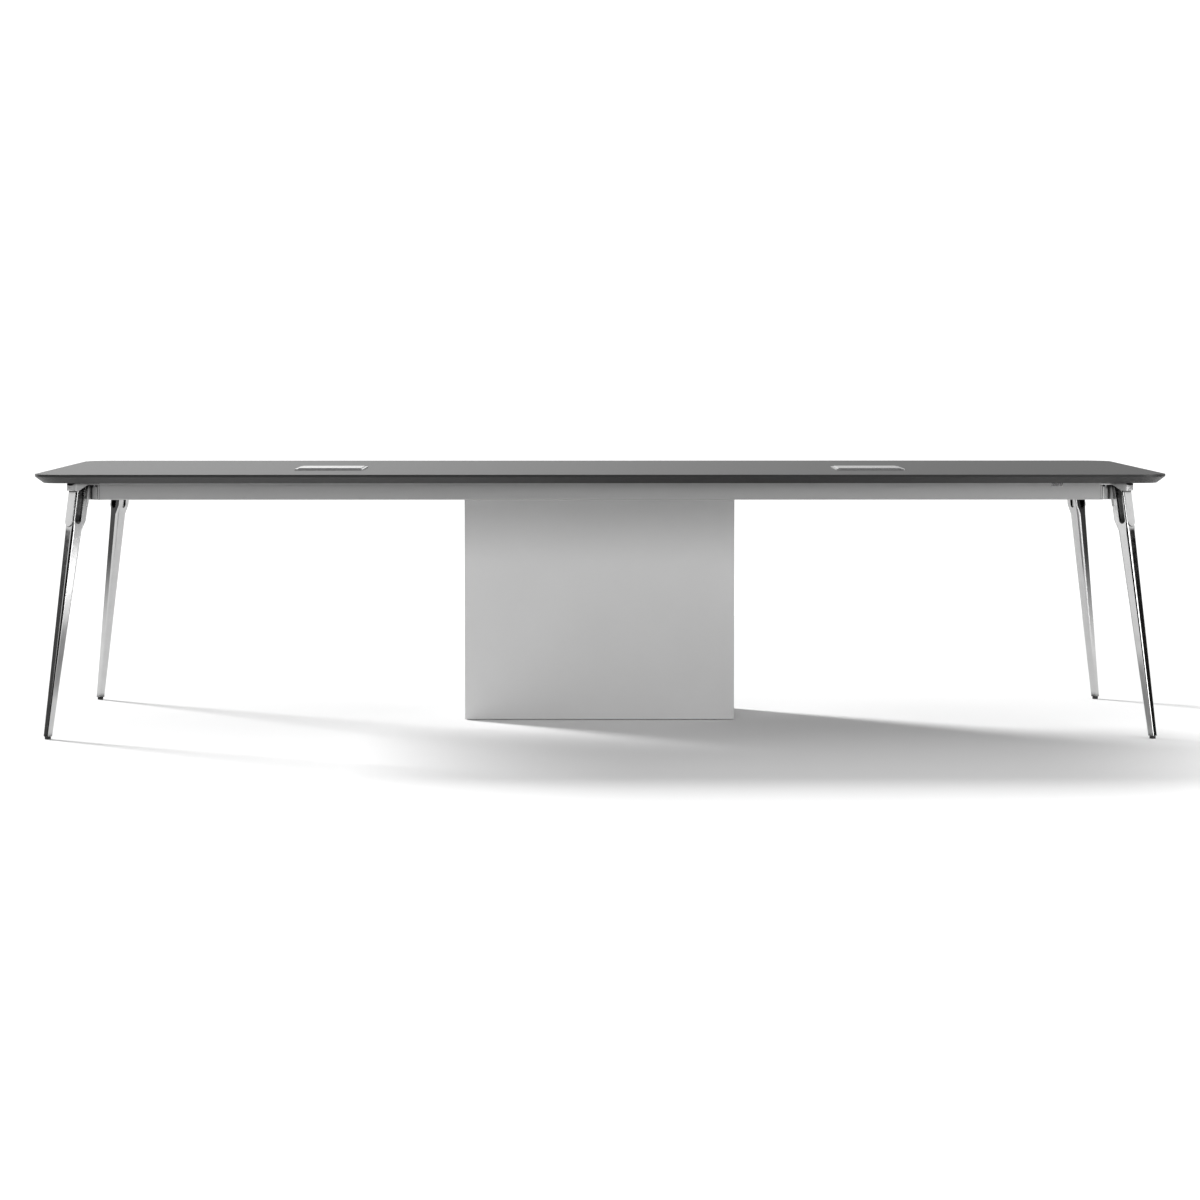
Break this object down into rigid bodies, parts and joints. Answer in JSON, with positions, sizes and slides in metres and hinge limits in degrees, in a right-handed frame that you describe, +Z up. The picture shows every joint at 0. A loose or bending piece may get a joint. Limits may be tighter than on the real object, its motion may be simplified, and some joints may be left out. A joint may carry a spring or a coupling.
{
  "type": "meeting table",
  "caption": "Long meeting table with a dark bevelled top, a rail frame, splayed forked cast legs, flip-lid cable boxes and a floor-length cable cabinet.",
  "frame": {"origin": "on the floor under the middle of the top", "axes": "+X along the table to the right, +Y from the front edge to the rear edge, +Z up"},
  "size_m": [3.2, 1.2, 0.755],
  "materials": {
    "top_laminate": "matte laminate",
    "rail_paint": "satin silver-grey powder coat",
    "polished_cast": "mirror-polished casting",
    "glide_plastic": "moulded",
    "zinc_steel": "zinc plated",
    "clip_steel": "satin",
    "cabinet_lacquer": "light grey lacquered board",
    "sheet_steel": "black powder coat",
    "box_aluminium": "satin anodised",
    "bristle": "black nylon bristle"
  },
  "bodies": {
    "table": {"tabletop": "top_laminate", "front_rail": "rail_paint", "rear_rail": "rail_paint", "left_end_rail": "rail_paint", "right_end_rail": "rail_paint", "cross_rail_cleats": "rail_paint", "top_brackets": "rail_paint", "inner_cross_rail_left": "rail_paint", "inner_cross_rail_right": "rail_paint", "outer_cross_rail_left": "rail_paint", "outer_cross_rail_right": "rail_paint", "corner_casting_front_left": "polished_cast", "corner_casting_front_right": "polished_cast", "corner_casting_rear_left": "polished_cast", "corner_casting_rear_right": "polished_cast", "leg_front_left": "polished_cast", "leg_front_right": "polished_cast", "leg_rear_left": "polished_cast", "leg_rear_right": "polished_cast", "cabinet_pads": "glide_plastic", "leg_inserts": "zinc_steel", "leg_bolts": "zinc_steel", "top_screws": "zinc_steel", "casting_screws": "zinc_steel", "rail_screws": "zinc_steel", "cabinet_angles": "zinc_steel", "lid_hinge_pin_left": "zinc_steel", "lid_hinge_pin_right": "zinc_steel", "rail_clip": "clip_steel", "clip_buttons": "clip_steel", "cabinet_front_panel": "cabinet_lacquer", "cabinet_rear_panel": "cabinet_lacquer", "cabinet_side_left": "cabinet_lacquer", "cabinet_side_right": "cabinet_lacquer", "cabinet_floor": "cabinet_lacquer", "cable_channel_left": "sheet_steel", "cable_channel_right": "sheet_steel", "cable_box_tray_left": "sheet_steel", "cable_box_tray_right": "sheet_steel", "cable_box_frame_left": "box_aluminium", "cable_box_frame_right": "box_aluminium", "brush_strip_left": "bristle", "brush_strip_right": "bristle"},
    "lid_left": {"cable_box_lid_left": "box_aluminium"},
    "lid_right": {"cable_box_lid_right": "box_aluminium"},
    "glide_front_left": {"glide_foot_front_left": "glide_plastic", "glide_stud_front_left": "zinc_steel"},
    "glide_front_right": {"glide_foot_front_right": "glide_plastic", "glide_stud_front_right": "zinc_steel"},
    "glide_rear_left": {"glide_foot_rear_left": "glide_plastic", "glide_stud_rear_left": "zinc_steel"},
    "glide_rear_right": {"glide_foot_rear_right": "glide_plastic", "glide_stud_rear_right": "zinc_steel"}
  },
  "joints": [
    {"name": "lid_left_hinge", "type": "hinge", "parent": "table", "child": "lid_left", "pos_m": [-0.788, -0.015, 0.749], "axis": [-1, 0, 0], "range_deg": [0, 95]},
    {"name": "lid_right_hinge", "type": "hinge", "parent": "table", "child": "lid_right", "pos_m": [0.788, -0.015, 0.749], "axis": [-1, 0, 0], "range_deg": [0, 95]},
    {"name": "glide_front_left_screw", "type": "slide", "parent": "table", "child": "glide_front_left", "axis": [0, 0, -1], "range_m": [0, 0.01]},
    {"name": "glide_front_right_screw", "type": "slide", "parent": "table", "child": "glide_front_right", "axis": [0, 0, -1], "range_m": [0, 0.01]},
    {"name": "glide_rear_left_screw", "type": "slide", "parent": "table", "child": "glide_rear_left", "axis": [0, 0, -1], "range_m": [0, 0.01]},
    {"name": "glide_rear_right_screw", "type": "slide", "parent": "table", "child": "glide_rear_right", "axis": [0, 0, -1], "range_m": [0, 0.01]}
  ]
}
